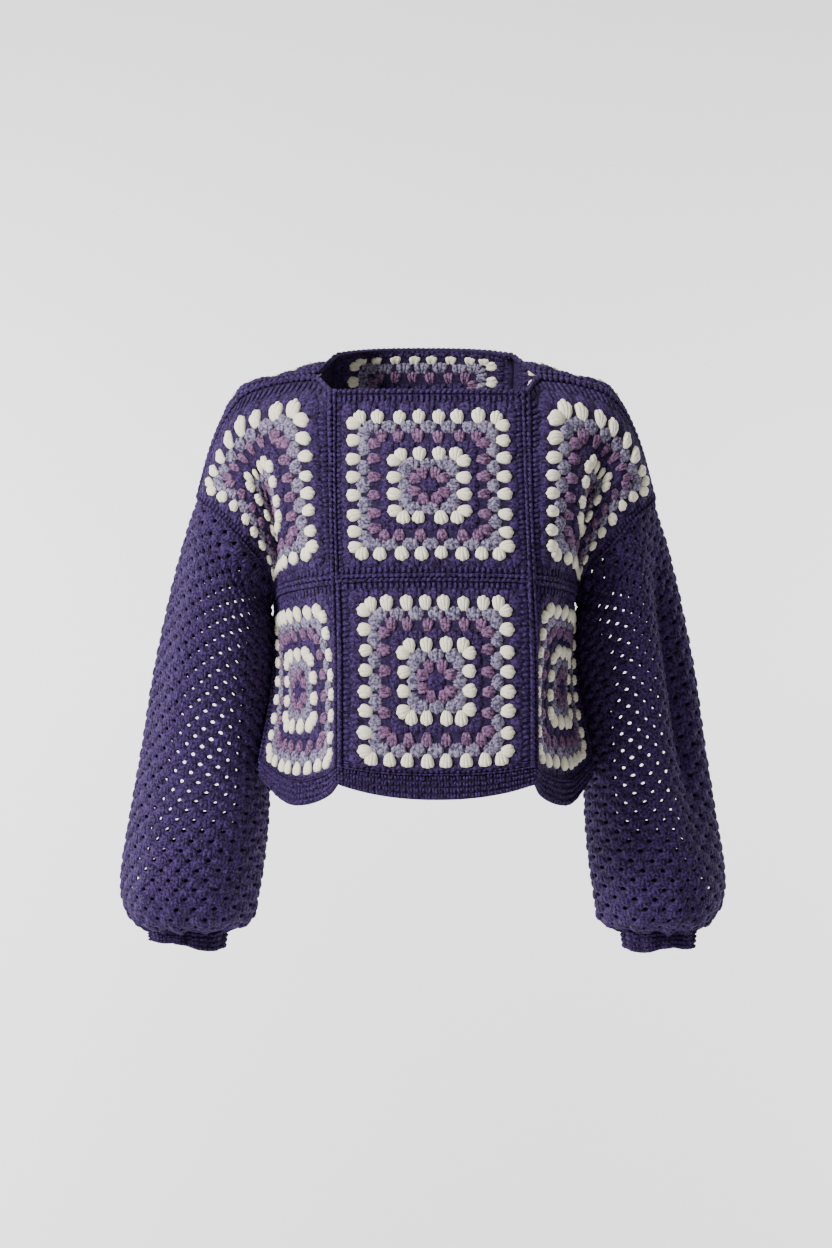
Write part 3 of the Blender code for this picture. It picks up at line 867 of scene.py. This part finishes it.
mesh_stitches = sleeve_stitches()
print("flat sleeve stitches:", len(mesh_stitches.polygons), "faces")

# %% Make the sleeves
SLEEVE_WEB_THICKNESS = 2.2
SLEEVE_REST = {"left": 8.0, "right": 5.0}    # how far a sleeve settles on the body, in mm
SLEEVE_TURN = {"left": 0.0, "right": 0.375}  # cells that a sleeve's holes are turned round it
SLEEVE_PLEATS = (0.80, 9, 2.2, 0.0)      # start, folds round, depth and dip in mm
WELD = 1e-6              # metres within which the two sides of a sleeve's seam join
for word, side in SIDES.items():
    name = f"{word}_sleeve"
    size = (SLEEVE_WIDTH, SLEEVE_LENGTH)
    shape = {
        "pleats": SLEEVE_PLEATS,
        "lean": (side, SLEEVE_REST[word]),
        "turn": SLEEVE_TURN[word] * CELL[0],
    }
    stitches = bent(mesh_stitches, name + "_stitches", name, size, **shape)
    finished(stitches, name, YARNS.values())
    web = bent(holed_web, name + "_web", name, size, **shape)
    finished(web, name, [YARNS["purple"]])
    bm = bmesh.new()
    bm.from_mesh(web.data)
    bmesh.ops.remove_doubles(bm, verts=bm.verts[:], dist=WELD)
    bm.to_mesh(web.data)
    bm.free()
    thicken(web, SLEEVE_WEB_THICKNESS)
print("sleeves made:", len(SIDES))

# %% [markdown]
# ## Hem band and cuffs
# The edges are worked in rows of tight short stitches, each the shape of a small V.
# A bump pattern would do from afar, but the edge would be a straight line. So two
# leaning stitches make one V, and each row is stamped from it.

# %% Rows of tight stitches
ROW_MM = 5.5             # height of a row
V_FEET, V_HEADS = 0.10, 0.30     # how far the two stitches of a V lean out, by its width
V_REACH, V_WIDTH = 0.47, 0.50    # half a stitch's length by its row, and its width
V_DEPTH, V_HEIGHT = 5.2, 0.7     # in mm
V_FACES = (6, 4)                 # sides and rings of a stitch


def band_stitches(size):
    """Rows of V stitches on a flat band of that size, in millimetres."""
    columns, rows = round(size[0] / EDGE_PITCH), round(size[1] / ROW_MM)
    pitch, tall = size[0] / columns, size[1] / rows
    template = blank_bmesh()
    for lean in (-1, 1):
        foot = (lean * pitch * V_FEET, tall * V_REACH)
        head = (lean * pitch * V_HEADS, -tall * V_REACH)
        add_post(template, foot, head, pitch * V_WIDTH, V_DEPTH, V_HEIGHT, *V_FACES)
    places = [((k + 0.5) * pitch, (row + 0.5) * tall, 0.0, "purple")
              for row in range(rows) for k in range(columns)]
    return joined("band_stitches", [stamped(template, places)])


HEM_HEIGHT = 22.0
print("rows of stitches in the hem band:", round(HEM_HEIGHT / ROW_MM))

# %% Make the bands
DRAWN_IN = 175.0         # what the band draws the 195 mm edge of a square in to
CUFF_PLEATS = (-0.8, 9, 1.5, 2.6)        # start, folds round, depth and dip in mm
BAND_CELLS = 4           # cells down a band's web
# Name, flat size, how it is held, and its pleats.
BANDS = (
    ("hem_band", (len(HEM_ORDER) * DRAWN_IN, HEM_HEIGHT), "hung", None),
    ("left_cuff", (200.0, CUFF_DROP), "gathered", CUFF_PLEATS),
    ("right_cuff", (200.0, CUFF_DROP), "gathered", CUFF_PLEATS),
)
for name, size, held, pleats in BANDS:
    stitches = bent(band_stitches(size), name + "_stitches", name, size, pleats=pleats)
    finished(stitches, name, YARNS.values())
    # The band's web is darker than the yarn: painted shade for the gaps between its stitches.
    flat = mesh_of("flat_web", flat_grid(size, (round(size[0] / EDGE_PITCH), BAND_CELLS)))
    web = bent(flat, name + "_web", name, size, pleats=pleats)
    finished(web, name, [YARNS["web"]])
    thicken(web)
print("bands made:", len(BANDS))

# %% [markdown]
# ## Studio
# A plain pale backdrop that curves from floor to wall, large soft lights and a level
# camera far enough away to flatten the view, as in a product photograph. A flat wall
# and floor would show a line where they meet, so the corner is bevelled into a sweep.

# %% Backdrop
FLOOR_Z, WALL_Y = -1.45, 2.6
FLOOR_HALF, WALL_HEIGHT = 7.0, 5.0
SWEEP, SWEEP_STEPS = 1.1, 24
CLOSE = 0.01             # metres within which an edge counts as the corner's
bm = bmesh.new()
bmesh.ops.create_grid(bm, x_segments=1, y_segments=1, size=FLOOR_HALF)
bmesh.ops.translate(bm, vec=(0, WALL_Y - FLOOR_HALF, FLOOR_Z), verts=bm.verts[:])
rear = [edge for edge in bm.edges if all(vert.co.y > WALL_Y - CLOSE for vert in edge.verts)]
raised = bmesh.ops.extrude_edge_only(bm, edges=rear)["geom"]
upper = [part for part in raised if isinstance(part, bmesh.types.BMVert)]
bmesh.ops.translate(bm, vec=(0, 0, WALL_HEIGHT), verts=upper)
low = [vert for vert in bm.verts
       if abs(vert.co.y - WALL_Y) < CLOSE and abs(vert.co.z - FLOOR_Z) < CLOSE]
corner = [edge for edge in bm.edges if all(vert in low for vert in edge.verts)]
bmesh.ops.bevel(bm, geom=corner, offset=SWEEP, affect="EDGES", segments=SWEEP_STEPS,
                profile=0.5, material=-1)
bmesh.ops.recalc_face_normals(bm, faces=bm.faces[:])
backdrop_mesh = mesh_of("backdrop", bm)
backdrop_mesh.shade_smooth()
backdrop = bpy.data.objects.new("backdrop", backdrop_mesh)
bpy.context.collection.objects.link(backdrop)
PAPER_ROUGHNESS = 0.95   # matt paper shows no highlight, only a soft fall of light
paper = bpy.data.materials.new("matt_backdrop_paper")
paper.use_nodes = True
paper.node_tree.nodes["Principled BSDF"].inputs["Base Color"].default_value = srgb("#eeeef0")
paper.node_tree.nodes["Principled BSDF"].inputs["Roughness"].default_value = PAPER_ROUGHNESS
backdrop.data.materials.append(paper)
print("backdrop:", len(backdrop_mesh.polygons), "faces")

# %% Lights
def soft_light(name, place, target, size, power):
    """A square area light that looks at a target."""
    data = bpy.data.lights.new(name, "AREA")
    data.shape = "SQUARE"
    data.size = size
    data.energy = power
    light = bpy.data.objects.new(name, data)
    bpy.context.collection.objects.link(light)
    light.location = place
    light.rotation_euler = (Vector(target) - Vector(place)).to_track_quat("-Z", "Y").to_euler()


MIDDLE = (0.0, 0.0, -0.3)
BACKDROP_MIDDLE = (0.0, WALL_Y, -0.25)
# Name, place, what it looks at, size in metres, and watts.
LIGHTS = (
    ("key", (-2.2, -1.8, 0.95), MIDDLE, 1.0, 176),
    ("fill", (2.4, -2.2, 0.3), MIDDLE, 2.0, 3),
    ("top", (-0.3, 0.1, 2.2), MIDDLE, 1.6, 34),
    ("backdrop_left", (-2.0, 0.9, -0.2), BACKDROP_MIDDLE, 1.0, 78),
    ("backdrop_right", (2.0, 0.9, -0.1), BACKDROP_MIDDLE, 1.0, 68),
)
for light in LIGHTS:
    soft_light(*light)
AIR_STRENGTH = 0.31
world = bpy.data.worlds.new("studio_air")
world.use_nodes = True
world.node_tree.nodes["Background"].inputs["Color"].default_value = srgb("#e8e9ec")
world.node_tree.nodes["Background"].inputs["Strength"].default_value = AIR_STRENGTH
bpy.context.scene.world = world
print("lights:", len(LIGHTS))

# %% Camera
CAMERA_PLACE = (-0.0094, -2.300, -0.257)
LENS_MM, SENSOR_MM = 63.5, 36.0
camera_data = bpy.data.cameras.new("camera")
camera_data.lens = LENS_MM
camera_data.sensor_width = SENSOR_MM
camera = bpy.data.objects.new("camera", camera_data)
camera.location = CAMERA_PLACE
camera.rotation_euler = (math.pi / 2, 0.0, 0.0)
bpy.context.collection.objects.link(camera)
bpy.context.scene.camera = camera
print("camera from the middle:", round((Vector(CAMERA_PLACE) - Vector(MIDDLE)).length, 2), "m")
